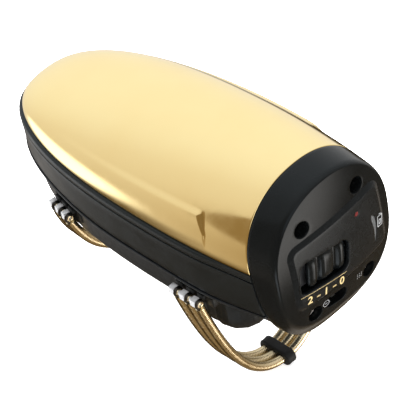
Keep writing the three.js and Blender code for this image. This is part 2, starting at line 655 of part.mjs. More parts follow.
function makeCircuitBoard() {
  const halfWidth = BOARD.width / 2;
  const top = BOARD.z + BOARD.thick;
  return box(BOARD.x, BOARD.x + BOARD.length, -halfWidth, halfWidth, BOARD.z, top)
    .add(box(BOARD.x + 10, BOARD.x + 20, -5, 5, top - 0.1, top + 1.6))
    .add(box(BOARD.x + 30, BOARD.x + 36, 6, 14, top - 0.1, top + 3));
}

// ---------------------------------------------------------------- assembly
const massager = new THREE.Group();
massager.position.set(-PAD.x, 0, -PAD.face);

function addPiece(name, solid, finish) {
  const mesh = new THREE.Mesh(toGeometry(solid), new THREE.MeshStandardMaterial(COLOURS[finish]));
  mesh.name = name;
  massager.add(mesh);
}

addPiece("top_shell", makeTopShell(), "gold");
addPiece("side_housing", makeSideHousing(), "satin");
addPiece("base_shell", makeBaseShell(), "satin");
addPiece("end_cap", makeEndCap(), "gloss");
addPiece("control_panel", makeControlPanel(), "gloss");
addPiece("switch_knob", makeSwitchKnob(), "gloss");
addPiece("switch_body", makeSwitchBody(), "satin");
addPiece("light_pipe", makeLightPipe(), "lens");
addPiece("indicator_led", makeIndicatorLed(), "led");
addPiece("charge_jack", makeChargeJack(), "steel");
addPiece("hand_pad", makeHandPad(), "rubber");
for (const place of capScrewPlaces) addPiece(`cap_screw_${place.name}`, makeCapScrew(place), "steel");
for (const [end, { x, y }] of [["front", BASE_SCREWS[0]], ["rear", BASE_SCREWS[1]]]) {
  for (const [label, side] of [["near", -1], ["far", 1]]) {
    addPiece(`base_screw_${end}_${label}`, makeBaseScrew(x, side * y), "steel");
  }
}
for (const [end, loop] of Object.entries(LOOPS)) {
  for (const [label, side] of [["near", -1], ["far", 1]]) {
    addPiece(`hook_bracket_${end}_${label}`, makeHookBracket(loop, side), "satin");
    addPiece(`hook_rod_${end}_${label}`, makeHookRod(loop, side), "chrome");
  }
  for (let i = 0; i < loop.loops; i++) addPiece(`coil_spring_${end}_${i + 1}`, makeSpring(loop, i), "coil");
}
addPiece("spring_spacer", makeSpacer(), "rubber");
addPiece("motor_can", makeMotorCan(), "steel");
addPiece("motor_shaft", makeMotorShaft(), "steel");
addPiece("eccentric_weight", makeEccentricWeight(), "steel");
addPiece("motor_mount", makeMotorMount(), "satin");
addPiece("battery_cell", makeBattery(), "wrap");
addPiece("battery_cradle", makeBatteryCradle(), "satin");
addPiece("circuit_board", makeCircuitBoard(), "board");

export default massager;
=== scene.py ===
"""Looks of the strap-on hand massager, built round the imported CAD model.

Shapes are written in the same body coordinates as the CAD: millimetres, nose at x = 0, shell seam at z = 0,
near side at -y. place() turns them into the row frame's metres. The body's skin follows the same
super-ellipse formulas as the CAD, at a much finer step, and carries the edges, grooves and marks.
"""
import math

import bmesh
import bpy
import numpy as np
from mathutils import Matrix, Vector
from mathutils.geometry import delaunay_2d_cdt


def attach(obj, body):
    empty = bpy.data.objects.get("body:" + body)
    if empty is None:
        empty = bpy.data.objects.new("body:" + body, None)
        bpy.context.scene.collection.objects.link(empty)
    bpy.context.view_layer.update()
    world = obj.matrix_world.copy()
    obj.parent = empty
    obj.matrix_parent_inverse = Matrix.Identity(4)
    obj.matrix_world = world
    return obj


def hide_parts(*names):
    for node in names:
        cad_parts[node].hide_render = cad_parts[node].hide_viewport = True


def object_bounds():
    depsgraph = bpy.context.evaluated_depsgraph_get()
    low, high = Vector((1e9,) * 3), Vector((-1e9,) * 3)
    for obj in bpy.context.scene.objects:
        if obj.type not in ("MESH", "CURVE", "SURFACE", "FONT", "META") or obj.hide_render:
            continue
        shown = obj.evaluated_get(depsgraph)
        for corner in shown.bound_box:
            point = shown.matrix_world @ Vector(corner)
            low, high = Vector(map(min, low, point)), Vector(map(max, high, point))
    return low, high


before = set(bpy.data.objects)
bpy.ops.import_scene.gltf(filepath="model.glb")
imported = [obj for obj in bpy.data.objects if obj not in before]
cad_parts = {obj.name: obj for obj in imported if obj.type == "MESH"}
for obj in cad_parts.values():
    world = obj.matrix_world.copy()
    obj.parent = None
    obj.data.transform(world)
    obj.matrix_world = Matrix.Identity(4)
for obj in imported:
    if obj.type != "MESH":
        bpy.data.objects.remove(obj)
cad_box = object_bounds()

# ---- dimensions, mm
ORIGIN = np.array([-107.0, 0.0, 54.0])  # row frame = (body coordinates + ORIGIN) / 1000
OUTLINE_POINTS = 420  # round the plan of the side wall
HULL_POINTS = 160  # across the underside
FACE_STEP = 1.3  # spacing of the points on the control face
LENGTH = 160.0
HALF_WIDTH = 35.3
WIDEST_X = 99.0
PLAN_POWER = 2.49
TAIL_HALF_WIDTH = 30.1
TOP_HEIGHT = 31.5
PROFILE_POWER = 1.69
UPPER_POWER = 2.15
DEPTH = 42.0
KEEL_RUN = 32.0
KEEL_POWER = 3.0
LOWER_POWER_MID = 8.0
LOWER_POWER_TAIL = 2.9
TAIL_BLEND = (97.0, 128.0)
LIP_TAIL_BLEND = (105.0, 152.0)  # the side wall stays boxy further back than the underside
OVERHANG_FADE = (118.0, 143.0)  # over this stretch the housing's overhang dies away towards the cap
BEVEL_START = 154.0  # from here to the end the underside rises by BEVEL_RISE
BEVEL_RISE = 9.0
HALF_GAP = 0.15
LIP_Z = -20.5
LIP_FOLLOW = (5.0, 19.0)  # over this depth the side wall takes up the slope of the lip
LIP_RISE, LIP_RISE_RUN = 4.0, (5.0, 70.0)  # the lip is higher at the nose
LIP_DROP, LIP_DROP_RUN = 2.0, (92.0, 140.0)  # and lower at the tail
BASE_INSET = 1.0
HULL_BELOW_LIP = 0.6  # the underside starts this far below the lip's line
CAP_X = 147.6
CAP_LEAN = 0.086
SHELL_LEAN_RUN = (95.0, 145.0)  # over this stretch the sections turn parallel to the leaning cap joint
HULL_LEAN_RUN = (120.0, 145.0)
SHOULDER_X = 157.0  # where the side of the cap starts to round over into its face
FACE_X = 162.5
FACE_RADIUS = 180.0
FACE_TILT = math.radians(-8)
CAP_EDGE = 1.0  # radius of the rounded edge round the control face

# The crease starts, is full, and ends at these x; the gill under its end leans back to tip over its height.
CREASE = {"start": 28, "grown": 102, "end": 121.5, "tip": 126, "gill": 7, "rise": 0.56, "depth": 1.1,
          "sharp": 0.75, "fade": (0.5, 14)}

PANEL = {"y": (-24, 25.5), "z": (-20.5, 13.7), "corner": 5.0, "proud": 1.18, "bevel": 2.5, "lean": 0.025}
RECESS = {"y": (-20.4, 4.6), "z": (-14.2, 1.0), "corner": 4.0, "drop": 4.4}
KNOB = {"y": (-15.3, 4.3), "z": (-13.5, 0.3), "corner": 2.8, "front": 162.9, "foot": 159.8}
LIGHT_PIPE = {"y": 18.2, "z": (-14.0, 0.0), "half_width": 1.05, "bow": 0.8}
LED = (10.6, 7.1, 0.9)  # y, z, radius
CAP_SCREWS = [(y, z) for z in (17.7, -27.0) for y in (-14.6, 14.6)]
SCREW_HOLE, SCREW_HOLE_DROP = 3.4, 8.0
PORT = {"y": (-5.4, 5.4), "z": (-29.9, -24.2), "corner": 2.4, "drop": 7.0}

PAD = {"x": 107.0, "half": (22.5, 27.5), "corner": 13.0, "face": -54.0, "shoulder": (9.0, 10.0), "top": -27.0,
       "ribs": 34, "rib": 0.25}

COIL_RADIUS = 1.9
WIRE_PITCH = 0.9
WIRE_RELIEF = 0.06  # depth of the grooves between the turns
HOOK_RING = (1.6, 0.7)  # radii of a ring and of its bar
WIRE_EYE = (1.05, 0.42)  # end of the wire, wound inside the hook ring
EYE_AHEAD = 0.5
ROD_RADIUS = 1.0
COLLAR = 3.1  # side of the bright square collars on a rod
ROD_END = 2.5
RING_AHEAD = 1.2  # from the middle of a coil's place to its hook ring
# The bracket behind a rod, from the rod's axis; y is outwards.
BRACKET = {"past": (3.2, 6.4), "thick": 3.6, "height": 4.6, "back": -4.4, "middle": 0.9,
           "step": (3.6, 4.6, 2.4), "step_at": (-3.4, 3.1)}
PITCH_AT_SPACER = 4.4
LOOPS = {
    "rear": {"x": 112.6, "pitch": 5.8, "y": 37, "z": -27.7, "toe": 0.0, "pull": (31, -54, 22), "low": -88},
    "front": {"x": 37.4, "pitch": 4.6, "y": 32, "z": -28.8, "toe": 0.2, "pull": (28, -46, 18), "low": -62},
}
PLACES = (-1, 0, 1)
SPACER = {"length": 16.4, "along": 4.6, "thick": 6.6, "edge": 0.9}

# The stage is in metres and degrees; azimuths count from +x towards +y.
CAMERA = {"azimuth": -36.925, "elevation": 43.135, "roll": 12.12, "distance": 1.514, "lens": 341.8,
          "aim": (-0.027, 0, 0.054), "offset": (0.0096, -0.0206)}
KEY_LIGHT = {"place": (-0.5, 0.6, 1.2), "aim": (0, 0, 0.03), "size": 1.6, "power": 75}
FLOOR = {"half": 6.0, "tone": 0.93, "glow": 0.62}


# ---- mesh helpers
def place(points):
    return (np.asarray(points, float) + ORIGIN) / 1000


def all_round(count):
    """Angles at equal steps round a full turn."""
    return np.linspace(0, 2 * math.pi, count, endpoint=False)


def link(obj):
    bpy.context.scene.collection.objects.link(obj)


def add_object(name, points, faces, material, body="body", sharp=40):
    """A smooth-shaded mesh from points in body coordinates, riding on a body."""
    mesh = bpy.data.meshes.new(name)
    mesh.from_pydata(place(points).tolist(), [], faces)
    work = bmesh.new()
    work.from_mesh(mesh)
    bmesh.ops.remove_doubles(work, verts=work.verts, dist=2e-6)
    bmesh.ops.recalc_face_normals(work, faces=work.faces)
    work.to_mesh(mesh)
    work.free()
    mesh.polygons.foreach_set("use_smooth", [True] * len(mesh.polygons))
    mesh.set_sharp_from_angle(angle=math.radians(sharp))
    mesh.materials.append(material)
    obj = bpy.data.objects.new(name, mesh)
    link(obj)
    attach(obj, body)
    return obj


def grid(rows, wrap=False, close_first=False, close_last=False):
    """Points and quads through rows of equal length, with the end rows closed if asked."""
    count = len(rows[0])
    faces = []
    for first in range(0, (len(rows) - 1) * count, count):
        for i in range(count if wrap else count - 1):
            a, b = first + i, first + (i + 1) % count
            faces.append((a, b, b + count, a + count))
    if close_first:
        faces.append(tuple(range(count)))
    if close_last:
        last = (len(rows) - 1) * count
        faces.append(tuple(range(last, last + count)))
    return np.concatenate(rows), faces


def join(*parts):
    """Several (points, faces) in one."""
    points, faces, first = [], [], 0
    for some_points, some_faces in parts:
        points.append(np.asarray(some_points, float))
        faces += [tuple(i + first for i in face) for face in some_faces]
        first += len(some_points)
    return np.concatenate(points), faces


def resample(points, count):
    """The same polyline as count points at equal steps."""
    steps = np.linalg.norm(np.diff(points, axis=0), axis=1)
    along = np.concatenate([[0], np.cumsum(steps)])
    wanted = np.linspace(0, along[-1], count)
    return np.stack([np.interp(wanted, along, points[:, k]) for k in range(points.shape[1])], 1)


def rounded_box(size, edge, steps=3):
    """A box centred on the origin with rounded edges, as points and faces."""
    work = bmesh.new()
    bmesh.ops.create_cube(work, size=1)
    bmesh.ops.scale(work, vec=size, verts=work.verts)
    bmesh.ops.bevel(work, geom=work.edges[:], offset=edge, segments=steps, affect="EDGES", profile=0.5)
    work.verts.index_update()
    points = np.array([v.co for v in work.verts])
    faces = [tuple(v.index for v in f.verts) for f in work.faces]
    work.free()
    return points, faces


# ---- the body's surface
def ramp(x, low, high):
    t = np.clip((np.asarray(x, float) - low) / (high - low), 0, 1)
    return t * t * (3 - 2 * t)


def quarter(t, power):
    return (1 - (1 - np.clip(t, 0, 1)) ** power) ** (1 / power)


def half_width(x):
    back = np.clip((x - WIDEST_X) / (LENGTH - WIDEST_X), 0, 2)
    tail = HALF_WIDTH - (HALF_WIDTH - TAIL_HALF_WIDTH) * back**2
    return np.where(x < WIDEST_X, HALF_WIDTH * quarter(x / WIDEST_X, PLAN_POWER), tail)


def top_height(x):
    return TOP_HEIGHT * quarter(x / LENGTH, PROFILE_POWER)


def depth(x):
    rise = BEVEL_RISE * np.clip((x - BEVEL_START) / (LENGTH - BEVEL_START), 0, 1)
    return DEPTH * quarter(x / KEEL_RUN, KEEL_POWER) - rise


def lower_power(x, blend=TAIL_BLEND):
    return LOWER_POWER_MID + (LOWER_POWER_TAIL - LOWER_POWER_MID) * ramp(x, *blend)


def ring(x, inset, angle):
    """Cross-section of the body, inset all round; x is one number, or one for each angle."""
    x = np.broadcast_to(np.asarray(x, float), angle.shape)
    at = np.clip(x - inset * np.maximum(0, 1 - x / LENGTH), 0, LENGTH)
    width = np.maximum(half_width(at) - inset, 0.05)
    upper = np.sin(angle) >= 0
    reach = np.maximum(np.where(upper, top_height(at), depth(at)) - inset, 0.05)
    power = 2 / np.where(upper, UPPER_POWER, lower_power(at))
    y = width * np.sign(np.cos(angle)) * np.abs(np.cos(angle)) ** power
    z = reach * np.sign(np.sin(angle)) * np.abs(np.sin(angle)) ** power
    return np.stack([x, y, z], 1)


def lower_y(x, z, inset):
    """Half-width of the inset body at height z below the seam, 0 where the body doesn't reach."""
    at = np.clip(x - inset * np.maximum(0, 1 - x / LENGTH), 0, LENGTH)
    width = np.maximum(half_width(at) - inset, 0)
    reach = np.maximum(depth(at) - inset, 1e-6)
    power = lower_power(at, LIP_TAIL_BLEND)
    share = np.clip(1 - (abs(z) / reach) ** power, 0, None)
    return width * share ** (1 / power)


def outline(z, inset):
    """The plan of the inset body at height z, from the cap joint round the nose and back on the near side.

    Where the inset is negative the housing overhangs, and that fades towards the cap. Both ends turn inwards.
    """
    end = CAP_X - CAP_LEAN * z - HALF_GAP

    def y_at(x):
        fade = 1 - 0.85 * ramp(x, *OVERHANG_FADE) if inset < 0 else 1
        return lower_y(x, z, inset * fade)

    low, high = min(inset, 0) * 0.985, 40.0
    if inset < 0:
        high = low
    while high - low > 1e-6:
        middle = (low + high) / 2
        low, high = (low, middle) if y_at(np.array([middle]))[0] > 0 else (middle, high)
    x = high + (end - high) * np.linspace(0, 1, 600) ** 3
    y = y_at(x)
    y[0] = 0
    far = np.stack([x, y], 1)[::-1]
    near = np.stack([x, -y], 1)[1:]
    plan = resample(np.concatenate([far, near]), OUTLINE_POINTS)
    inwards = np.array([0, 2.0])
    plan = np.concatenate([[plan[0] - inwards], plan, [plan[-1] + inwards]])
    return np.column_stack([plan, np.full(len(plan), z)])


# ---- materials
def new_material(name):
    material = bpy.data.materials.new(name)
    material.use_nodes = True
    nodes = material.node_tree.nodes
    nodes.clear()
    output = nodes.new("ShaderNodeOutputMaterial")
    shader = nodes.new("ShaderNodeBsdfPrincipled")
    material.node_tree.links.new(shader.outputs["BSDF"], output.inputs["Surface"])
    return material, shader


def add_node(tree, kind, values, joined, **settings):
    """Adds a shader node with its settings, constant inputs and joined inputs, and gives its outputs."""
    node = tree.nodes.new("ShaderNode" + kind)
    for name, value in settings.items():
        setattr(node, name, value)
    for name, value in values.items():
        node.inputs[name].default_value = value
    for name, source in joined.items():
        tree.links.new(source, node.inputs[name])
    return node.outputs


def object_coords(tree, scale=(1, 1, 1)):
    coords = add_node(tree, "TexCoord", {}, {})["Object"]
    return add_node(tree, "Mapping", {"Scale": scale}, {"Vector": coords})["Vector"]


def noise(tree, vector, scale, detail=3.0):
    values = {"Scale": scale, "Detail": detail, "Roughness": 0.5}
    return add_node(tree, "TexNoise", values, {"Vector": vector})["Fac"]


def map_range(tree, value, to_low, to_high, from_low=0.3, from_high=0.7):
    values = {"From Min": from_low, "From Max": from_high, "To Min": to_low, "To Max": to_high}
    return add_node(tree, "MapRange", values, {"Value": value})["Result"]


def mix_colour(tree, factor, first, second):
    values = {"A": (*first, 1), "B": (*second, 1)}
    return add_node(tree, "Mix", values, {"Factor": factor}, data_type="RGBA")["Result"]


def bump(tree, height, strength, distance):
    values = {"Strength": strength, "Distance": distance}
    return add_node(tree, "Bump", values, {"Height": height})["Normal"]


def dress(tree, shader, colour, rough, normal):
    for name, source in (("Base Color", colour), ("Roughness", rough), ("Normal", normal)):
        tree.links.new(source, shader.inputs[name])


COOL_GLOSS = (0.80, 0.92, 1.0, 1)  # keeps the gloss of black plastic neutral in the warm studio


def plastic(name, colour, rough, grain, grain_depth, specular=0.4):
    """Moulded plastic: slight tone drift, uneven gloss and a fine moulded grain."""
    material, shader = new_material(name)
    tree = material.node_tree
    vector = object_coords(tree)
    lighter = tuple(min(1, c * 1.35 + 0.003) for c in colour)
    dress(tree, shader, mix_colour(tree, noise(tree, vector, 45), colour, lighter),
          map_range(tree, noise(tree, vector, 160, 4), rough * 0.85, rough * 1.2),
          bump(tree, noise(tree, vector, grain, 2), 0.35, grain_depth))
    shader.inputs["Specular IOR Level"].default_value = specular
    shader.inputs["Specular Tint"].default_value = COOL_GLOSS
    return material


def metal(name, colour, dark, rough, grain, grain_depth, stretch=(1, 1, 1)):
    """Plated or bare metal: faint tarnish, polishing marks and uneven roughness."""
    material, shader = new_material(name)
    tree = material.node_tree
    vector = object_coords(tree, stretch)
    tarnish = map_range(tree, noise(tree, vector, 30, 4), 0, 1)
    dress(tree, shader, mix_colour(tree, tarnish, dark, colour),
          map_range(tree, noise(tree, vector, 220, 5), rough * 0.75, rough * 1.3),
          bump(tree, noise(tree, vector, grain, 3), 0.25, grain_depth))
    shader.inputs["Metallic"].default_value = 1.0
    return material


def wire_metal(name, colour, edge, rough):
    """Gold-plated coil wire with a little tarnish; painted shade browns the flanks, leaving it bright where
    it faces out.
    """
    material = metal(name, colour, tuple(0.93 * c for c in colour), rough, 1600, 3e-6)
    tree = material.node_tree
    shader = next(node for node in tree.nodes if node.type == "BSDF_PRINCIPLED")
    tarnished = shader.inputs["Base Color"].links[0].from_socket
    # Painted shade: the base colour turns to the flank colour as the surface turns away from the view.
    facing = add_node(tree, "LayerWeight", {"Blend": 0.5}, {})["Facing"]
    joined = {"Factor": map_range(tree, facing, 0, 1, 0.12, 0.62), "A": tarnished}
    flank_painted_shade = add_node(tree, "Mix", {"B": (*edge, 1)}, joined, data_type="RGBA")["Result"]
    tree.links.new(flank_painted_shade, shader.inputs["Base Color"])
    return material


def ribbed_plastic(name, colour, rough):
    """Plastic with fine upright lines all round, from a wave along the length."""
    material, shader = new_material(name)
    tree = material.node_tree
    vector = object_coords(tree)
    wave = add_node(tree, "TexWave", {"Scale": 420, "Distortion": 0.4}, {"Vector": vector})["Fac"]
    dress(tree, shader, mix_colour(tree, noise(tree, vector, 60), colour, tuple(c * 1.5 for c in colour)),
          map_range(tree, noise(tree, vector, 300, 4), rough * 0.85, rough * 1.15),
          bump(tree, wave, 0.3, 6e-5))
    shader.inputs["Specular IOR Level"].default_value = 0.4
    return material


# The black plastics are a touch blue, which the warm studio makes neutral.
MATERIALS = {
    "gold": metal("gold_plating", (1.0, 0.83, 0.43), (0.985, 0.80, 0.40), 0.12, 700, 1.5e-6),
    "housing": plastic("housing_satin", (0.002, 0.0034, 0.0042), 0.34, 2600, 8e-6, 0.36),
    "base": ribbed_plastic("base_ribbed", (0.0035, 0.006, 0.0085), 0.42),
    "cap": plastic("cap_gloss", (0.0025, 0.003, 0.0032), 0.16, 1800, 3e-6, 0.12),
    "panel": plastic("panel_gloss", (0.004, 0.0048, 0.0054), 0.26, 2200, 2e-6, 0.15),
    "knob": plastic("knob_gloss", (0.003, 0.0038, 0.0042), 0.2, 2400, 1e-6, 0.2),
    "bracket": plastic("bracket_black", (0.003, 0.003, 0.003), 0.45, 2400, 6e-6, 0.2),
    "inner": plastic("inner_plastic", (0.03, 0.03, 0.032), 0.55, 1500, 1e-5),
    "rubber": plastic("pad_rubber", (0.0035, 0.0036, 0.0038), 0.5, 1600, 1e-5, 0.22),
    "spacer": plastic("spacer_rubber", (0.007, 0.0065, 0.006), 0.6, 1400, 3e-5, 0.25),
    # The coil's second colour is the painted shade on the flanks of the wire.
    "coil": wire_metal("coil_gold", (1.0, 0.90, 0.65), (0.44, 0.34, 0.17), 0.25),
    "chrome": plastic("hook_chrome", (0.46, 0.46, 0.47), 0.22, 2500, 1e-5, 0.9),
    "hook": metal("hook_ring", (0.07, 0.065, 0.06), (0.03, 0.028, 0.025), 0.3, 1500, 3e-6),
    "steel": metal("plain_steel", (0.50, 0.50, 0.51), (0.36, 0.36, 0.37), 0.35, 1800, 4e-6, (1, 6, 6)),
    "wrap": plastic("battery_sleeve", (0.06, 0.20, 0.42), 0.35, 900, 8e-6),
    "board": plastic("board_lacquer", (0.03, 0.16, 0.07), 0.4, 1100, 1e-5),
    "lens": plastic("light_pipe", (0.075, 0.078, 0.08), 0.25, 1500, 4e-6, 0.4),
    "led": plastic("red_lens", (0.10, 0.008, 0.008), 0.25, 1500, 4e-6, 0.25),
    "gold_ink": plastic("gold_ink", (0.52, 0.39, 0.17), 0.4, 2500, 5e-6),
    "pale_ink": plastic("pale_ink", (0.36, 0.36, 0.36), 0.45, 2500, 5e-6),
}

CARRIED = {
    "inner": ["switch_body", "motor_mount", "battery_cradle"],
    "steel": ["charge_jack", "motor_can", "motor_shaft", "eccentric_weight"]
    + [f"cap_screw_{a}_{b}" for a in ("upper", "lower") for b in ("near", "far")]
    + [f"base_screw_{a}_{b}" for a in ("front", "rear") for b in ("near", "far")],
    "wrap": ["battery_cell"],
    "board": ["circuit_board"],
    "led": ["indicator_led"],
}


def finish_carried_nodes():
    for key, names in CARRIED.items():
        for name in names:
            for material_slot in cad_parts[name].material_slots:
                material_slot.material = MATERIALS[key]


# ---- gold shell
def crease_push(points):
    """How far each point of the gold flank stands out: a ridge under a crease, ending in a small gill."""
    x, y, z = points.T
    below = CREASE["rise"] * top_height(x) - z
    along = ramp(x, CREASE["start"], CREASE["grown"])
    down_gill = np.clip(below / CREASE["gill"], 0, 1)
    end_x = CREASE["end"] + (CREASE["tip"] - CREASE["end"]) * down_gill
    ended = 1 - ramp(x, end_x - 0.2, end_x + 0.8 + 2.4 * (1 - down_gill))
    bulge = ramp(below, -CREASE["sharp"], CREASE["sharp"]) * (1 - ramp(below, *CREASE["fade"]))
    return np.sign(y) * CREASE["depth"] * along * ended * bulge


def shell_row(x, inset, gap):
    """Section of the gold shell from its far foot over the top to its near foot."""
    start = math.asin(min(0.9, (0.45 / max(top_height(x), 0.5)) ** (UPPER_POWER / 2)))
    angle = np.linspace(start, math.pi - start, 181)
    lean = CAP_LEAN * ramp(x, *SHELL_LEAN_RUN)
    height = ring(x, inset, angle)[:, 2]
    row = ring(x - gap - lean * height, inset, angle)
    row[:, 1] += crease_push(row)
    first, last = row[0], row[-1]
    foot = [(1.5, 0.15), (0.25, 0.15), (0.04, 0.27)]
    head = [(first[0], first[1] - inwards, z) for inwards, z in foot]
    tail = [(last[0], last[1] + inwards, z) for inwards, z in reversed(foot)]
    return np.concatenate([head, row, tail])


def build_gold_shell():
    spread = (1 - np.cos(np.linspace(0, math.pi / 2, 150))) ** 1.35
    stations = 0.15 + (CAP_X - 0.15) * spread
    stations = np.unique(np.concatenate([stations, np.arange(118, 130, 0.3)]))
    rows = [shell_row(x, 0, HALF_GAP if x > 100 else 0) for x in stations[:-1]]
    rim = [(0, 0.6), (0, 0.25), (0.06, 0.05), (0.25, 0), (1.6, 0)]
    rows += [shell_row(CAP_X, inset, HALF_GAP + back) for inset, back in rim]
    points, faces = grid(rows, close_first=True)
    shell = add_object("gold_shell_skin", points, faces, MATERIALS["gold"], sharp=60)
    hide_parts("top_shell")


# ---- black housing and base
HOUSING_PROFILE = [
    (-0.15, 0.8), (-0.18, -0.1), (-0.3, -0.5), (-0.6, -0.85), (-1.1, -1.08), (-1.8, -1.2), (-2.5, -1.2),
    (-3.0, -1.2), (-3.25, -1.15), (-3.42, -1.02), (-3.5, -0.8), (-3.55, 0.4), (-4.3, 0.4), (-4.35, -0.5),
    (-4.42, -0.78), (-4.6, -0.95), (-5.0, -1.0), (-8, -1.0), (-11, -1.0), (-14, -1.0), (-17, -1.0),
    (-18.9, -1.0), (-19.15, -0.93), (-19.3, -0.75), (-19.38, -0.5), (-19.4, 0.5), (-20.0, 0.6), (-20.35, 1.6),
]
LIP_PROFILE = [
    (-20.2, 1.6), (-20.2, -0.9), (-20.27, -1.12), (-20.45, -1.24), (-20.75, -1.28), (-21.1, -1.24),
    (-21.35, -1.1), (-21.45, -0.85), (-21.5, -0.4), (-21.7, 0.2), (-21.9, 1.6),
]


def lip_shift(x):
    return LIP_RISE * (1 - ramp(x, *LIP_RISE_RUN)) - LIP_DROP * ramp(x, *LIP_DROP_RUN)


def lip_outline(z, inset):
    """An outline near the lip, which sinks on its way from the nose to the tail."""
    row = outline(z, inset)
    row[:, 2] += lip_shift(row[:, 0]) * ramp(-z, *LIP_FOLLOW)
    return row


def build_housing():
    points, faces = grid([lip_outline(z, inset) for z, inset in HOUSING_PROFILE])
    housing = add_object("side_housing_skin", points, faces, MATERIALS["housing"], sharp=50)
    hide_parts("side_housing")


def hull_row(x, inset, gap=0.0):
    """The underside's section at x, from the lip on the far side round to the near side."""
    z_top = LIP_Z - HULL_BELOW_LIP + lip_shift(x)
    start = math.asin(min(1, (abs(z_top) / (depth(x) - inset)) ** (lower_power(x) / 2)))
    angle = -np.linspace(start, math.pi - start, 900)
    row = resample(ring(x, inset, angle), HULL_POINTS)
    lean = CAP_LEAN * ramp(x, *HULL_LEAN_RUN)
    return ring_at(row, x - gap - lean * row[:, 2], inset)


def ring_at(row, x, inset):
    """The same share of width and depth as row has, at other x."""
    old = row[:, 0]
    wide = (half_width(x) - inset) / (half_width(old) - inset)
    deep = (depth(x) - inset) / (depth(old) - inset)
    return np.stack([x, row[:, 1] * wide, row[:, 2] * deep], 1)


def hull_start():
    """The first x where the underside reaches below the lip, found by halving."""
    needed = abs(LIP_Z) - LIP_RISE + HULL_BELOW_LIP + 0.05
    low, high = 0.5, 30.0
    for _ in range(40):
        middle = (low + high) / 2
        low, high = (low, middle) if depth(middle) - BASE_INSET > needed else (middle, high)
    return high


def build_base():
    start = hull_start()
    spread = (1 - np.cos(np.linspace(0, math.pi / 2, 110))) ** 1.5
    rows = [hull_row(x, BASE_INSET) for x in start + (CAP_X - start) * spread[:-1]]
    rim = [(0, 0.2), (0.1, 0), (1.5, 0)]
    rows += [hull_row(CAP_X, BASE_INSET + inset, HALF_GAP + back) for inset, back in rim]
    lip = grid([lip_outline(z, inset) for z, inset in LIP_PROFILE])
    points, faces = join(grid(rows), lip)
    base = add_object("base_skin", points, faces, MATERIALS["base"], sharp=50)
    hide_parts("base_shell")


# ---- shapes on the control face
def tilt(points, lean):
    """Turns flat (y, z) points about the axis of the face."""
    c, s = math.cos(lean), math.sin(lean)
    points = np.asarray(points, float)
    return np.stack([points[:, 0] * c - points[:, 1] * s, points[:, 0] * s + points[:, 1] * c], 1)


def circle(y, z, radius, count=44):
    angle = all_round(count)
    unit = np.stack([np.cos(angle), np.sin(angle)], 1)
    return lambda grow: np.array([y, z]) + (radius + grow) * unit


def rounded_rectangle(ys, zs, corner, steps=9, sides=10, lean=FACE_TILT):
    """A leaning rounded rectangle as a function of how far it is grown."""

    def shape(grow):
        radius = max(corner + grow, 0.05)
        centres = [(ys[1] - corner, zs[1] - corner, 0), (ys[0] + corner, zs[1] - corner, 90),
                   (ys[0] + corner, zs[0] + corner, 180), (ys[1] - corner, zs[0] + corner, 270)]
        arcs = []
        for y, z, start in centres:
            angle = np.radians(np.linspace(start, start + 90, steps))
            arcs.append(np.stack([y + radius * np.cos(angle), z + radius * np.sin(angle)], 1))
        share = np.linspace(0, 1, sides + 2)[1:-1, None]
        loop = []
        for arc, following in zip(arcs, arcs[1:] + arcs[:1]):
            loop += [arc, arc[-1] + (following[0] - arc[-1]) * share]
        return tilt(np.concatenate(loop), lean)

    return shape


def reach_to(polygon, centre, angle):
    """How far a ray from centre at each angle runs before it leaves the polygon."""
    a = polygon - centre
    b = np.roll(a, -1, axis=0)
    best = np.full(len(angle), 1e6)
    for k, t in enumerate(angle):
        d = np.array([math.cos(t), math.sin(t)])
        e = b - a
        det = d[0] * e[:, 1] - d[1] * e[:, 0]
        det = np.where(np.abs(det) < 1e-12, 1e-12, det)
        far = (a[:, 0] * e[:, 1] - a[:, 1] * e[:, 0]) / det
        share = (a[:, 0] * d[1] - a[:, 1] * d[0]) / det
        hit = (share >= 0) & (share <= 1) & (far > 0)
        best[k] = far[hit].min() if hit.any() else 1e6
    return best


def panel_shape(grow):
    """Outline of the raised panel: a rounded rectangle, cut by the rim of the face and by the screw holes."""
    centre = np.array([0.5, -4.0])
    angle = all_round(300)
    rectangle = rounded_rectangle(PANEL["y"], PANEL["z"], PANEL["corner"], lean=PANEL["lean"])(grow)
    rim = face_rim(1.3 - grow)
    far = np.minimum(reach_to(rectangle, centre, angle), reach_to(rim, centre, angle))
    for y, z in CAP_SCREWS:
        hole = circle(y, z, SCREW_HOLE + 0.5, 60)(-grow)
        far = np.minimum(far, reach_to(hole, centre, angle))
    far = sum(np.roll(far, k) for k in (-1, 0, 1)) / 3
    return centre + far[:, None] * np.stack([np.cos(angle), np.sin(angle)], 1)


def dome(points, proud=0.0):
    """x of the domed control face over points in y and z."""
    return FACE_X + proud - FACE_RADIUS + np.sqrt(FACE_RADIUS**2 - (points**2).sum(1))


RIM_ANGLES = all_round(240)


def face_rim(inset):
    """The outline of the flat of the face, that far inside its rounded edge."""
    return ring(LENGTH, CAP_EDGE + inset, RIM_ANGLES)[:, 1:]


def inside(polygon, points):
    """Which points lie inside the polygon."""
    y, z = points[:, 0][:, None], points[:, 1][:, None]
    a, b = polygon, np.roll(polygon, -1, axis=0)
    spans = (a[:, 1] > z) != (b[:, 1] > z)
    slope = (b[:, 0] - a[:, 0]) / np.where(b[:, 1] == a[:, 1], 1e-12, b[:, 1] - a[:, 1])
    crosses = spans & (y < a[:, 0] + (z - a[:, 1]) * slope)
    return crosses.sum(1) % 2 == 1


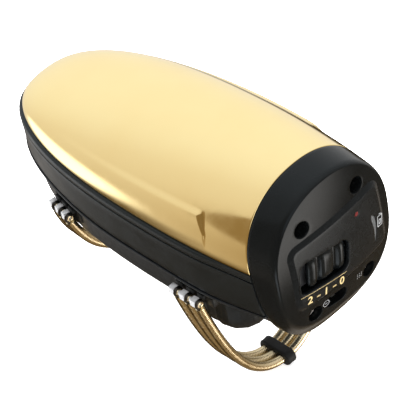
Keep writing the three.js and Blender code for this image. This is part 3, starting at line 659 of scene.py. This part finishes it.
def surface(outer, holes, height, spacing):
    """A triangulated patch inside outer and outside the holes, lifted to height."""
    loops = [outer] + holes
    low, high = outer.min(0), outer.max(0)
    ys = np.arange(low[0], high[0], spacing)
    zs = np.arange(low[1], high[1], spacing * 0.87)
    lattice = np.array([(y + (k % 2) * spacing / 2, z) for k, z in enumerate(zs) for y in ys])
    edge_points = np.concatenate(loops)
    keep = inside(outer, lattice)
    for hole in holes:
        keep &= ~inside(hole, lattice)
    nearest = np.array([np.min(((edge_points - p) ** 2).sum(1)) for p in lattice[keep]])
    lattice = lattice[keep][nearest > (0.6 * spacing) ** 2]
    edges, first = [], 0
    for loop in loops:
        edges += [(first + i, first + (i + 1) % len(loop)) for i in range(len(loop))]
        first += len(loop)
    flat = [Vector(p) for p in np.concatenate([edge_points, lattice])]
    verts, _, faces, _, _, _ = delaunay_2d_cdt(flat, edges, [], 0, 1e-6)
    points = np.array([tuple(v) for v in verts])
    middles = np.array([points[list(f)].mean(0) for f in faces])
    good = inside(outer, middles)
    for hole in holes:
        good &= ~inside(hole, middles)
    return np.column_stack([height(points), points]), [tuple(f) for f, ok in zip(faces, good) if ok]


def edge_band(shape, profile, height, sign=1):
    """Walls that follow a shape's outline; profile is a list of (growth, drop below the surface)."""
    rows = []
    for grow, drop in profile:
        loop = shape(sign * grow)
        rows.append(np.column_stack([height(loop) - drop, loop]))
    return grid(rows, wrap=True)


def rounded_edge(radius, drop, steps=4):
    """Profile from the surface over a rounded edge and straight down."""
    angle = np.radians(np.linspace(0, 90, steps + 1))
    over = [(-radius * (1 - math.sin(a)), radius * (1 - math.cos(a))) for a in angle]
    return over + [(0.0, drop)]


# ---- end cap, panel, switch
def cap_side_rows():
    """Rings from inside the joint along the side of the cap and over its rounded edge to the face."""
    rows = []
    for x, inset in [(0, 1.6), (0, 0.3), (0.06, 0.08), (0.3, 0)]:
        z = ring(CAP_X, inset, RIM_ANGLES)[:, 2]
        rows.append(ring(CAP_X - CAP_LEAN * z + HALF_GAP + x, inset, RIM_ANGLES))
    joint = rows[-1][:, 0]
    for share in np.linspace(0, 1, 14)[1:]:
        rows.append(ring(joint + (SHOULDER_X - joint) * share, 0, RIM_ANGLES))
    rim = ring(LENGTH, CAP_EDGE, RIM_ANGLES)
    face_x = dome(rim[:, 1:])
    for a in np.radians(np.linspace(0, 90, 10)[1:]):
        x = SHOULDER_X + (face_x - SHOULDER_X) * math.sin(a)
        row = ring(np.minimum(x, LENGTH), CAP_EDGE * (1 - math.cos(a)), RIM_ANGLES)
        row[:, 0] = x
        rows.append(row)
    rows[-1][:, 1:] = rim[:, 1:]
    rows[-1][:, 0] = face_x
    return rows


def build_end_cap():
    edge = 0.35
    recess = rounded_rectangle(RECESS["y"], RECESS["z"], RECESS["corner"])
    port = rounded_rectangle(PORT["y"], PORT["z"], PORT["corner"])
    closed = [(circle(y, z, SCREW_HOLE), SCREW_HOLE_DROP) for y, z in CAP_SCREWS] + [(port, PORT["drop"])]
    shapes = closed + [(recess, RECESS["drop"])]
    parts = [grid(cap_side_rows(), wrap=True)]
    parts.append(surface(face_rim(0), [shape(edge) for shape, _ in shapes], dome, FACE_STEP))
    for shape, drop in shapes:
        parts.append(edge_band(shape, rounded_edge(edge, drop), dome, -1))
    for shape, drop in closed:
        loop = shape(0)
        parts.append((np.column_stack([dome(loop) - drop, loop]), [tuple(range(len(loop)))]))
    points, faces = join(*parts)
    cap = add_object("end_cap_skin", points, faces, MATERIALS["cap"], sharp=45)
    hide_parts("end_cap")


def panel_height(points):
    return dome(points, PANEL["proud"])


def sliver(grow, count=24):
    """Outline of the charge window: a bowed sliver, broad above and pointed below."""
    low, high = LIGHT_PIPE["z"]
    t = np.linspace(0, 1, count)
    z = high + grow - (high - low + 2 * grow) * t
    middle = LIGHT_PIPE["y"] + LIGHT_PIPE["bow"] * np.sin(math.pi * t)
    wide = LIGHT_PIPE["half_width"] * (1 - 0.85 * t**1.6) * np.minimum(1, 6 * t + 0.35) + grow
    left = np.stack([middle - wide, z], 1)
    right = np.stack([middle + wide, z], 1)
    return np.concatenate([left, right[::-1]])


def build_panel():
    recess = rounded_rectangle(RECESS["y"], RECESS["z"], RECESS["corner"])
    bevel = PANEL["bevel"]
    border = [(-bevel, 0), (-bevel + 0.25, 0.03), (-bevel + 0.45, 0.12), (-0.35, 1.05), (-0.12, 1.2),
              (0, 1.4), (0, 1.9)]
    # Each opening with the radius of its edge and the drop of its wall.
    openings = [(recess, 0.5, 5.2), (sliver, 0.15, 1.0), (circle(*LED, 16), 0.25, 1.0)]
    holes = [shape(edge) for shape, edge, _ in openings]
    parts = [surface(panel_shape(-bevel), holes, panel_height, FACE_STEP)]
    parts.append(edge_band(panel_shape, border, panel_height))
    for shape, edge, drop in openings:
        parts.append(edge_band(shape, rounded_edge(edge, drop), panel_height, -1))
    points, faces = join(*parts)
    panel = add_object("control_panel_skin", points, faces, MATERIALS["panel"], sharp=35)
    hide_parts("control_panel")


def build_light_pipe():
    def height(points):
        return panel_height(points) - 0.2

    parts = [surface(sliver(-0.1), [], height, 0.7), edge_band(sliver, [(-0.1, 0), (0, 0.4)], height)]
    points, faces = join(*parts)
    pipe = add_object("light_pipe_lens", points, faces, MATERIALS["lens"])
    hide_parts("light_pipe")


# Height of the knob along its length: lip, valley, thumb pad, valley, lip, as shares of the full height.
KNOB_PROFILE = [(0.0, 0.45), (0.05, 0.8), (0.12, 0.98), (0.18, 0.9), (0.25, 0.28), (0.30, 0.2), (0.34, 0.72),
                (0.40, 0.95), (0.5, 0.98), (0.60, 0.95), (0.66, 0.72), (0.70, 0.2), (0.75, 0.28), (0.82, 0.9),
                (0.88, 0.98), (0.95, 0.8), (1.0, 0.45)]


def knob_height(points):
    """x of the knob's top over points in the face's leaning plane."""
    flat = tilt(points, -FACE_TILT)
    along = np.clip((flat[:, 0] - KNOB["y"][0]) / (KNOB["y"][1] - KNOB["y"][0]), 0, 1)
    middle = sum(KNOB["z"]) / 2
    across = np.abs(flat[:, 1] - middle) / ((KNOB["z"][1] - KNOB["z"][0]) / 2)
    share = np.interp(along, *zip(*KNOB_PROFILE))
    return KNOB["foot"] + (KNOB["front"] - KNOB["foot"]) * share * (1 - 0.55 * across**4)


def build_knob():
    shape = rounded_rectangle(KNOB["y"], KNOB["z"], KNOB["corner"], sides=24)
    parts = [surface(shape(-0.3), [], knob_height, 0.42),
             edge_band(shape, [(-0.3, 0), (-0.12, 0.06), (0, 0.3), (0, 1.2)], knob_height)]
    points, faces = join(*parts)
    knob = add_object("switch_knob_skin", points, faces, MATERIALS["knob"], body="switch", sharp=50)
    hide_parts("switch_knob")
    smooth = knob.modifiers.new("smooth", "SMOOTH")
    smooth.factor = 0.5
    smooth.iterations = 2


# ---- marks on the face
def mark_matrix(y, z, lift):
    """Lays a flat mark on the domed panel at (y, z), reading along the leaning switch."""
    x = float(panel_height(np.array([[y, z]]))[0]) + lift
    out = Vector((math.sqrt(FACE_RADIUS**2 - y**2 - z**2), y, z)).normalized()
    along = Vector((0, math.cos(FACE_TILT), math.sin(FACE_TILT)))
    across = (along - out * out.dot(along)).normalized()
    turn = Matrix((across, out.cross(across), out)).transposed().to_4x4()
    return Matrix.Translation(Vector(place([x, y, z]))) @ turn


def lay_mark(name, curve, y, z, lift, material):
    curve.materials.append(material)
    obj = bpy.data.objects.new(name, curve)
    link(obj)
    obj.matrix_world = mark_matrix(y, z, lift)
    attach(obj, "body")


def add_numeral(text, y, z, height, material):
    curve = bpy.data.curves.new(f"mark_{text}", "FONT")
    curve.body = text
    curve.size = height / 1000
    curve.align_x = "CENTER"
    curve.align_y = "CENTER"
    curve.extrude = 4e-5
    curve.offset = height * 1.8e-5
    lay_mark(f"mark_{text}", curve, y, z, 0.05, material)


def add_strokes(name, strokes, y, z, material, width, on_panel=True):
    """Flat pictogram of round-ended strokes; each stroke is a list of (across, up) points in mm."""
    curve = bpy.data.curves.new(name, "CURVE")
    curve.dimensions = "3D"
    curve.bevel_depth = width / 2000
    curve.bevel_resolution = 2
    for stroke in strokes:
        spline = curve.splines.new("POLY")
        spline.points.add(len(stroke) - 1)
        for point, (across, up) in zip(spline.points, stroke):
            sink = (across**2 + up**2) / (2 * FACE_RADIUS)  # the dome falls away by this much
            point.co = (across / 1000, up / 1000, -sink / 1000, 1)
    lay_mark(name, curve, y, z, 0.0 if on_panel else -PANEL["proud"], material)


def build_marks():
    """Numerals and a line under the switch, a battery at the charge window, a dial and dots by the port."""
    gold, pale = MATERIALS["gold_ink"], MATERIALS["pale_ink"]
    for text, y, z in (("2", -17.8, -15.9), ("1", -9.9, -17.1), ("0", -1.7, -18.2)):
        add_numeral(text, y, z, 5.0, gold)
    for k, (y, z) in enumerate([(-13.8, -16.5), (-5.7, -17.7)]):
        add_strokes(f"mark_dash_{k}", [[(-0.9, 0), (0.9, 0)]], y, z, gold, 0.5)
    add_strokes("mark_line", [[(a, 0) for a in np.linspace(-11.6, 11.6, 9)]], -10.4, -13.7, gold, 0.2)
    case = [(-1.3, -2.5), (1.3, -2.5), (1.3, 2.3), (-1.3, 2.3), (-1.3, -2.5)]
    cell = [(-0.5, -1.5), (0.5, -1.5), (0.5, 0.4), (-0.5, 0.4), (-0.5, -1.5)]
    battery = [case, cell, [(-0.5, 3.0), (0.5, 3.0)]]
    add_strokes("mark_battery", battery, 22.0, -5.6, pale, 0.36)
    dial = [(1.5 * math.cos(t), 1.5 * math.sin(t)) for t in np.linspace(0, 2 * math.pi, 25)]
    add_strokes("mark_dial", [dial, [(-0.7, 0), (0.7, 0)]], -9.3, -25.6, pale, 0.2, False)
    dots = [[(a, b), (a + 0.25, b)] for a in (-1.2, -0.1, 1.0) for b in (-0.9, 0, 0.9)]
    add_strokes("mark_dots", dots, 8.8, -25.4, pale, 0.4, False)


# ---- hand pad
def pad_row(inset, z, sink=0.0):
    """Outline of the inset pad; its ribs stand out by their height at sink 0 and not at all at sink 1."""
    half_x, half_y = PAD["half"]
    shape = rounded_rectangle((-half_x, half_x), (-half_y, half_y), PAD["corner"], 24, 16, lean=0)
    loop = resample(np.concatenate([shape(-inset), shape(-inset)[:1]]), 40 * PAD["ribs"] // 4 + 1)[:-1]
    share = np.arange(len(loop)) / len(loop) * PAD["ribs"]
    rib = np.exp(-(((share % 1) - 0.5) / 0.09) ** 2)
    outwards = np.gradient(loop, axis=0)[:, ::-1] * (1, -1)
    outwards /= np.linalg.norm(outwards, axis=1)[:, None]
    loop = loop - outwards * (PAD["rib"] * (1 - rib * (1 - sink)))[:, None]
    return np.column_stack([loop[:, 0] + PAD["x"], loop[:, 1], np.full(len(loop), z)])


def build_pad():
    shoulder, height = PAD["shoulder"]
    rows = [pad_row(shoulder + 6, PAD["face"] + 0.35, 1), pad_row(shoulder + 3, PAD["face"] + 0.1, 1)]
    for angle in np.linspace(0, math.pi / 2, 16):
        z = PAD["face"] + height * (1 - math.cos(angle))
        rows.append(pad_row(shoulder * (1 - math.sin(angle)), z, 1 - ramp(angle, 0.05, 0.4)))
    rows.append(pad_row(0, PAD["top"]))
    points, faces = grid(rows, wrap=True, close_first=True, close_last=True)
    pad = add_object("hand_pad_ribbed", points, faces, MATERIALS["rubber"], sharp=60)
    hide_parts("hand_pad")


# ---- spring loops
def on_rod(loop, side, k, shift):
    along = k * loop["pitch"] + shift
    return np.array([loop["x"] + along, side * (loop["y"] + along * loop["toe"]), loop["z"]])


def loop_line(loop, k):
    """Centre line of the k-th coil from the near hook down, under, and up to the far hook."""
    low_x = loop["x"] + RING_AHEAD + k * PITCH_AT_SPACER
    pull1, pull_z, pull2 = loop["pull"]
    t = np.linspace(0, 1, 400)[:, None]
    halves = []
    for side in (-1, 1):
        top = on_rod(loop, side, k, RING_AHEAD) - (0, 0, HOOK_RING[0])
        control = [top, np.array([top[0], side * pull1, pull_z]),
                   np.array([low_x, side * pull2, loop["low"]]), np.array([low_x, 0, loop["low"]])]
        halves.append((1 - t) ** 3 * control[0] + 3 * (1 - t) ** 2 * t * control[1]
                      + 3 * (1 - t) * t**2 * control[2] + t**3 * control[3])
    return np.concatenate([halves[0], halves[1][::-1][1:]])


def normals_along(line):
    """Two normals at each point; every loop lies close to a plane across x, so x serves as guide."""
    tangent = np.gradient(line, axis=0)
    tangent /= np.linalg.norm(tangent, axis=1)[:, None]
    guide = np.array([1.0, 0, 0])
    first = guide - tangent * (tangent @ guide)[:, None]
    first /= np.linalg.norm(first, axis=1)[:, None]
    return first, np.cross(tangent, first)


def coil_wire(line):
    """A close-wound coil round a centre line: its skin follows the round backs of the touching turns."""
    length = np.linalg.norm(np.diff(line, axis=0), axis=1).sum()
    turns = int(length / WIRE_PITCH)
    per_turn, sides = 7, 14
    fine = resample(line, turns * per_turn + 1)
    first, second = normals_along(fine)
    angle = all_round(sides)
    rows = []
    for i, (point, a, b) in enumerate(zip(fine, first, second)):
        phase = (i / per_turn + angle / (2 * math.pi)) % 1
        groove = 1 - np.sqrt(np.clip(1 - (2 * phase - 1) ** 2, 0, 1))
        radius = COIL_RADIUS - WIRE_RELIEF * groove
        rows.append(point + radius[:, None] * (np.outer(np.cos(angle), a) + np.outer(np.sin(angle), b)))
    return grid(rows, wrap=True, close_first=True, close_last=True)


def torus(centre, major, minor, turn):
    """A ring in a plane that holds z, turned about z."""
    along = np.array([math.cos(turn), math.sin(turn), 0])
    b = all_round(10)
    rows = []
    for a in all_round(28):
        outward = np.array([-math.sin(turn) * math.cos(a), math.cos(turn) * math.cos(a), math.sin(a)])
        tube = np.outer(np.cos(b), outward) + np.outer(np.sin(b), along)
        rows.append(centre + major * outward + minor * tube)
    rows.append(rows[0])
    return grid(rows, wrap=True)


def build_springs(end, loop):
    for index, k in enumerate(PLACES):
        coil = add_object(f"coil_wire_{end}_{index + 1}", *coil_wire(loop_line(loop, k)), MATERIALS["coil"])
        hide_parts(f"coil_spring_{end}_{index + 1}")
        middles = [(on_rod(loop, side, k, RING_AHEAD), side * loop["toe"]) for side in (-1, 1)]
        rings = [torus(middle, *HOOK_RING, lean) for middle, lean in middles]
        hooks = add_object(f"coil_hooks_{end}_{index + 1}", *join(*rings), MATERIALS["hook"])
        eyes = [torus(middle + (EYE_AHEAD, 0, 0), *WIRE_EYE, lean) for middle, lean in middles]
        wires = add_object(f"coil_eyes_{end}_{index + 1}", *join(*eyes), MATERIALS["coil"])


def turned(points, loop, side):
    """Moves points drawn about the origin onto a rod."""
    angle = side * math.atan(loop["toe"])
    c, s = math.cos(angle), math.sin(angle)
    x, y, z = np.asarray(points).T
    return np.stack([x * c - y * s + loop["x"], x * s + y * c + side * loop["y"], z + loop["z"]], 1)


def build_rod(end, loop, side, label):
    low, high = -loop["pitch"] - ROD_END, loop["pitch"] + RING_AHEAD + 0.3
    line = np.array([[low, 0, 0], [low + 0.3, 0, 0], [0, 0, 0], [high - 0.3, 0, 0], [high, 0, 0]])
    angle = all_round(20)
    radii = [0.75, 1, 1, 1, 0.75]
    round_x = ROD_RADIUS * np.stack([0 * angle, np.cos(angle), np.sin(angle)], 1)
    rows = [point + radius * round_x for point, radius in zip(line, radii)]
    parts = [grid(rows, wrap=True, close_first=True, close_last=True)]
    for k in PLACES:
        points, faces = rounded_box((min(loop["pitch"] - 2.3, 2.8), COLLAR, COLLAR), 0.22)
        parts.append((points + (k * loop["pitch"] - RING_AHEAD, 0, 0), faces))
    points, faces = join(*parts)
    points = turned(points, loop, side)
    shaft = add_object(f"chrome_rod_{end}_{label}", points, faces, MATERIALS["chrome"], sharp=30)
    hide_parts(f"hook_rod_{end}_{label}")


def build_bracket(end, loop, side, label):
    """Black bracket behind a rod: a plate under the lip with a step above each hook ring."""
    before, after = BRACKET["past"]
    length = 2 * loop["pitch"] + before + after
    points, faces = rounded_box((length, BRACKET["thick"], BRACKET["height"]), 0.4)
    parts = [(points + ((after - before) / 2, BRACKET["back"], BRACKET["middle"]), faces)]
    for k in PLACES:
        points, faces = rounded_box(BRACKET["step"], 0.4)
        parts.append((points + (k * loop["pitch"] + RING_AHEAD, *BRACKET["step_at"]), faces))
    points, faces = join(*parts)
    points = turned(points * (1, side, 1), loop, side)
    piece = add_object(f"bracket_{end}_{label}", points, faces, MATERIALS["bracket"])
    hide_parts(f"hook_bracket_{end}_{label}")


def build_spacer():
    """The rubber strap round the rear coils: a band with rounded ends and softened edges."""
    rear = LOOPS["rear"]
    half_x, half_z = SPACER["length"] / 2, SPACER["thick"] / 2
    shape = rounded_rectangle((-half_x, half_x), (-half_z, half_z), half_z - 0.3, 12, 14, lean=0)
    edge, half_y = SPACER["edge"], SPACER["along"] / 2
    profile = [(-half_y, -1.6), (-half_y + 0.02, -edge)]
    for a in np.linspace(0.2, 1.57, 6):
        profile.append((-half_y + edge * (1 - math.cos(a)), -edge * (1 - math.sin(a))))
    profile += [(0, -0.12)] + [(-y, grow) for y, grow in reversed(profile)]
    middle = rear["x"] + RING_AHEAD
    rows = []
    for y, grow in profile:
        loop = shape(grow)
        rows.append(np.stack([middle + loop[:, 0], np.full(len(loop), y), rear["low"] + loop[:, 1]], 1))
    points, faces = grid(rows, wrap=True, close_first=True, close_last=True)
    block = add_object("spacer_band", points, faces, MATERIALS["spacer"], body="spacer")
    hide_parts("spring_spacer")


# ---- stage
def build_floor():
    """Pale floor with a glow that keeps it white round the object's soft shadow."""
    lowest, half = cad_box[0].z, FLOOR["half"]
    mesh = bpy.data.meshes.new("floor")
    corners = [(-half, -half, lowest), (half, -half, lowest), (half, half, lowest), (-half, half, lowest)]
    mesh.from_pydata(corners, [], [(0, 1, 2, 3)])
    material, shader = new_material("floor_paper")
    shader.inputs["Base Color"].default_value = (FLOOR["tone"], FLOOR["tone"], FLOOR["tone"], 1)
    shader.inputs["Roughness"].default_value = 0.9
    shader.inputs["Specular IOR Level"].default_value = 0.0
    shader.inputs["Emission Color"].default_value = (1, 1, 1, 1)
    shader.inputs["Emission Strength"].default_value = FLOOR["glow"]
    mesh.materials.append(material)
    floor = bpy.data.objects.new("floor", mesh)
    link(floor)
    floor.visible_glossy = False


def direction(azimuth, elevation):
    """Unit vector at these angles in degrees."""
    a, e = math.radians(azimuth), math.radians(elevation)
    return (math.cos(a) * math.cos(e), math.sin(a) * math.cos(e), math.sin(e))


# The studio's soft surroundings, brightest around MAIN_LIGHT: (cosine of the angle to it, brightness).
MAIN_LIGHT = direction(142, 20)
FALL_OFF = [(-1.0, 0.34), (-0.35, 0.42), (-0.12, 0.66), (0.05, 0.73), (0.25, 0.80), (0.55, 0.86),
            (0.85, 0.98), (1.0, 1.03)]
STRONG_CARD = 4.0  # cards brighter than this are seen only in the black plastic
# Cards and flags round the object: azimuth, elevation, full radius and outer radius in degrees, brightness.
CARDS = [
    (-143, -60, 17, 27, 0.10),  # shade on the table under the near side
    (-152, -22, 12, 19, 2.0),  # low strip that whitens the front of the near edge
    (-84, 16, 38, 39.2, 0.28),  # dark flag beside the control end
    (-70, 30, 30, 40, 0.22),
    (122, -36, 11, 16, 0.05),  # dark edge behind the far side
    (150, -50, 13, 20, 0.08),
    (45, -52, 20, 46, 0.30),  # table in front of the control face
    (12, -24, 7, 26, 6.8),  # card that greys the upper corner of the face
    (-72, -38, 6, 15, 3.0),  # card that shows in the near edge of the control face
    (-37, 43, 18, 36, 1.25),  # soft front light, seen in the coils and the rims
]


def warmed(level):
    """A dim part of the studio is warmer than a bright one; a strong card has its own warm tint."""
    if level > STRONG_CARD:
        return (level, 0.89 * level, 0.80 * level, 1)
    dimness = max(0, 1 - level)
    return (level, level * (1 - 0.42 * dimness), level * (1 - 0.9 * dimness), 1)


def build_world():
    """The studio as it is reflected; plain white as a light and where the camera looks past the object."""
    world = bpy.data.worlds.new("studio")
    bpy.context.scene.world = world
    world.use_nodes = True
    tree = world.node_tree
    tree.nodes.clear()
    around = add_node(tree, "TexCoord", {}, {})["Generated"]

    def nearness(vector, far, near, kind):
        """0 where the cosine of the angle to vector is far, 1 where it is near."""
        dot = add_node(tree, "VectorMath", {1: vector}, {0: around}, operation="DOT_PRODUCT")["Value"]
        values = {"From Min": far, "From Max": near}
        return add_node(tree, "MapRange", values, {"Value": dot}, interpolation_type=kind)["Result"]

    tone = tree.nodes.new("ShaderNodeValToRGB")
    elements = tone.color_ramp.elements
    while len(elements) < len(FALL_OFF):
        elements.new(0.5)
    for element, (cosine, level) in zip(elements, FALL_OFF):
        element.position = (cosine + 1) / 2
        element.color = warmed(level)
    tree.links.new(nearness(MAIN_LIGHT, -1, 1, "LINEAR"), tone.inputs["Fac"])
    result = tone.outputs["Color"]
    for azimuth, elevation, full, outer, level in CARDS:
        far, near = math.cos(math.radians(outer)), math.cos(math.radians(full))
        joined = {"Factor": nearness(direction(azimuth, elevation), far, near, "SMOOTHSTEP"), "A": result}
        result = add_node(tree, "Mix", {"B": warmed(level)}, joined, data_type="RGBA")["Result"]
    surround = add_node(tree, "Background", {}, {"Color": result})["Background"]
    plain = add_node(tree, "Background", {"Color": (1, 1, 1, 1)}, {})["Background"]
    glossy = add_node(tree, "LightPath", {}, {})["Is Glossy Ray"]
    chosen = add_node(tree, "MixShader", {}, {"Fac": glossy, 1: plain, 2: surround})["Shader"]
    add_node(tree, "OutputWorld", {}, {"Surface": chosen})


def build_key_light():
    light = bpy.data.lights.new("key_softbox", "AREA")
    light.shape = "RECTANGLE"
    light.size = light.size_y = KEY_LIGHT["size"]
    light.energy = KEY_LIGHT["power"]
    key = bpy.data.objects.new("key_softbox", light)
    link(key)
    key.location = KEY_LIGHT["place"]
    aim = Vector(KEY_LIGHT["aim"]) - Vector(KEY_LIGHT["place"])
    key.rotation_mode = "QUATERNION"
    key.rotation_quaternion = aim.to_track_quat("-Z", "Y")
    key.visible_glossy = False


def build_camera():
    back = Vector(direction(CAMERA["azimuth"], CAMERA["elevation"]))
    level_right = Vector(direction(CAMERA["azimuth"] + 90, 0))
    level_up = back.cross(level_right)
    roll = math.radians(CAMERA["roll"])
    right = level_right * math.cos(roll) - level_up * math.sin(roll)
    up = level_up * math.cos(roll) + level_right * math.sin(roll)
    across, above = CAMERA["offset"]
    aim = Vector(CAMERA["aim"]) + right * across + up * above
    camera = bpy.data.objects.new("camera", bpy.data.cameras.new("camera"))
    camera.data.sensor_width = 36
    camera.data.lens = CAMERA["lens"]
    camera.data.clip_start, camera.data.clip_end = 0.1, 30
    turn = Matrix((right, up, back)).transposed().to_4x4()
    camera.matrix_world = Matrix.Translation(aim + back * CAMERA["distance"]) @ turn
    link(camera)
    bpy.context.scene.camera = camera


# ---- build
build_camera()
build_world()
build_floor()
build_key_light()
bpy.context.scene.view_settings.view_transform = "Standard"

finish_carried_nodes()
build_gold_shell()
build_housing()
build_base()
build_end_cap()
build_panel()
build_light_pipe()
build_knob()
build_marks()
build_pad()
for loop_end, loop_data in LOOPS.items():
    build_springs(loop_end, loop_data)
    for side_label, side_sign in (("near", -1), ("far", 1)):
        build_rod(loop_end, loop_data, side_sign, side_label)
        build_bracket(loop_end, loop_data, side_sign, side_label)
build_spacer()
